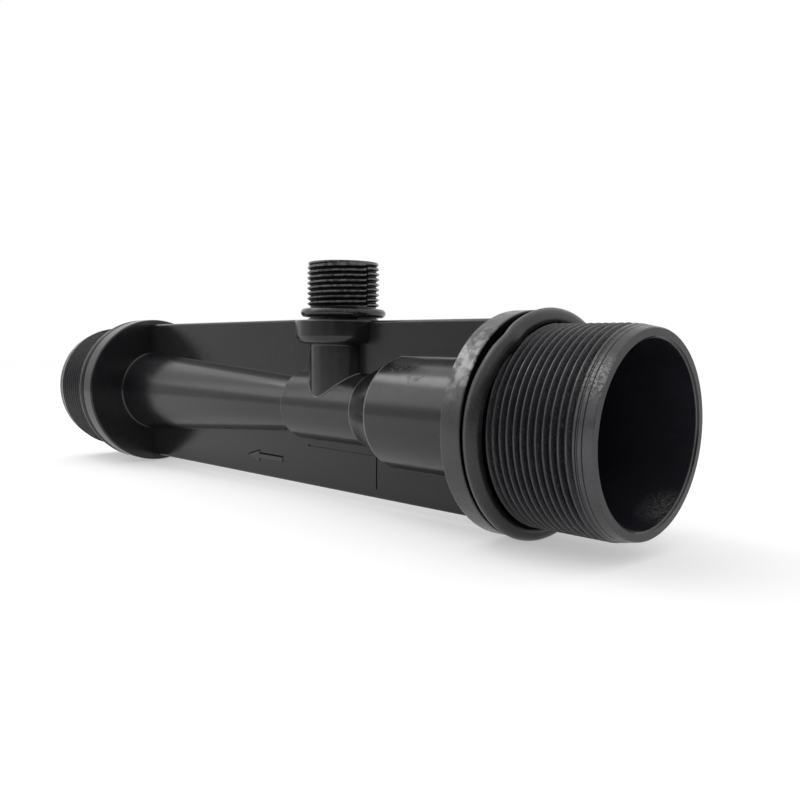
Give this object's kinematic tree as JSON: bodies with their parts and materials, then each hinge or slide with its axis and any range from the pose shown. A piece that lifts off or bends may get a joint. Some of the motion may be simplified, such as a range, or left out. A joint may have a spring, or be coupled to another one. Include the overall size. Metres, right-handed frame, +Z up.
{
  "type": "venturi jet eductor",
  "caption": "Moulded plastic venturi eductor: threaded flanged ends, a stepped tube that narrows under a threaded suction port and widens again, a stiffening web and rubber rings.",
  "frame": {"origin": "on the flow axis at the foot of the inlet thread, where the ring's seat ends", "axes": "+X along the flow axis out of the inlet mouth, +Z up the suction port"},
  "size_m": [0.309, 0.0684, 0.0863],
  "materials": {
    "body_plastic": "satin black injection-moulded plastic",
    "ring_rubber": "dull black moulded rubber"
  },
  "bodies": {
    "root": {"body": "body_plastic", "inlet_o_ring": "ring_rubber", "outlet_o_ring": "ring_rubber", "suction_o_ring": "ring_rubber"}
  },
  "joints": []
}
